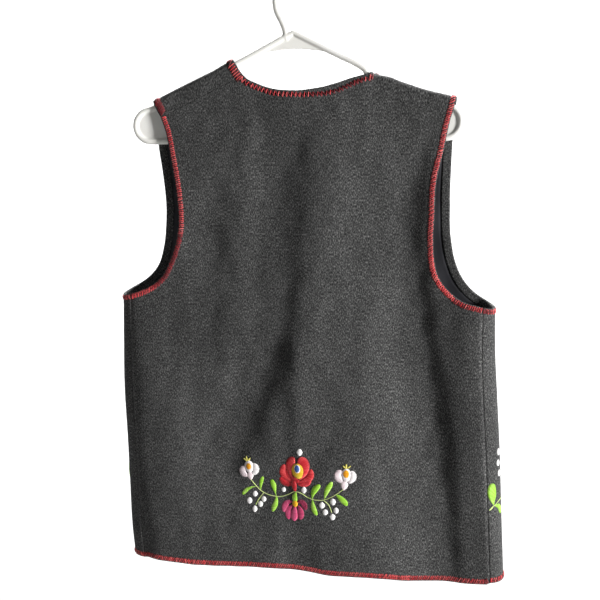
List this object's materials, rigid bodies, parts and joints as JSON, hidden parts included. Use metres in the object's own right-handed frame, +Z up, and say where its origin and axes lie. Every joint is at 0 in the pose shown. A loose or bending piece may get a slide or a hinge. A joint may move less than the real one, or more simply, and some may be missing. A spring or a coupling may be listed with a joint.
{
  "type": "embroidered folk vest on hanger",
  "caption": "Sleeveless felt vest with folk flower embroidery and stitched edges, hung open-fronted on a moulded plastic hanger.",
  "frame": {"origin": "where a clothes rail touches the inside of the hanger's hook, in the hanger's middle plane", "axes": "+Z up, +X towards the wearer's left, -Y out of the wearer's front"},
  "size_m": [0.4996, 0.0764, 0.7715],
  "materials": {
    "felt": "dense matt boiled wool with a fine grey fleck",
    "hanger_plastic": "smooth cream moulded plastic",
    "red_thread": "satin embroidery thread",
    "pink_thread": "satin embroidery thread",
    "green_thread": "satin embroidery thread",
    "yellow_thread": "satin embroidery thread",
    "blue_thread": "satin embroidery thread",
    "white_thread": "satin embroidery thread"
  },
  "bodies": {
    "root": {"back": "felt", "front_left": "felt", "front_right": "felt", "hanger": "hanger_plastic"}
  },
  "joints": []
}
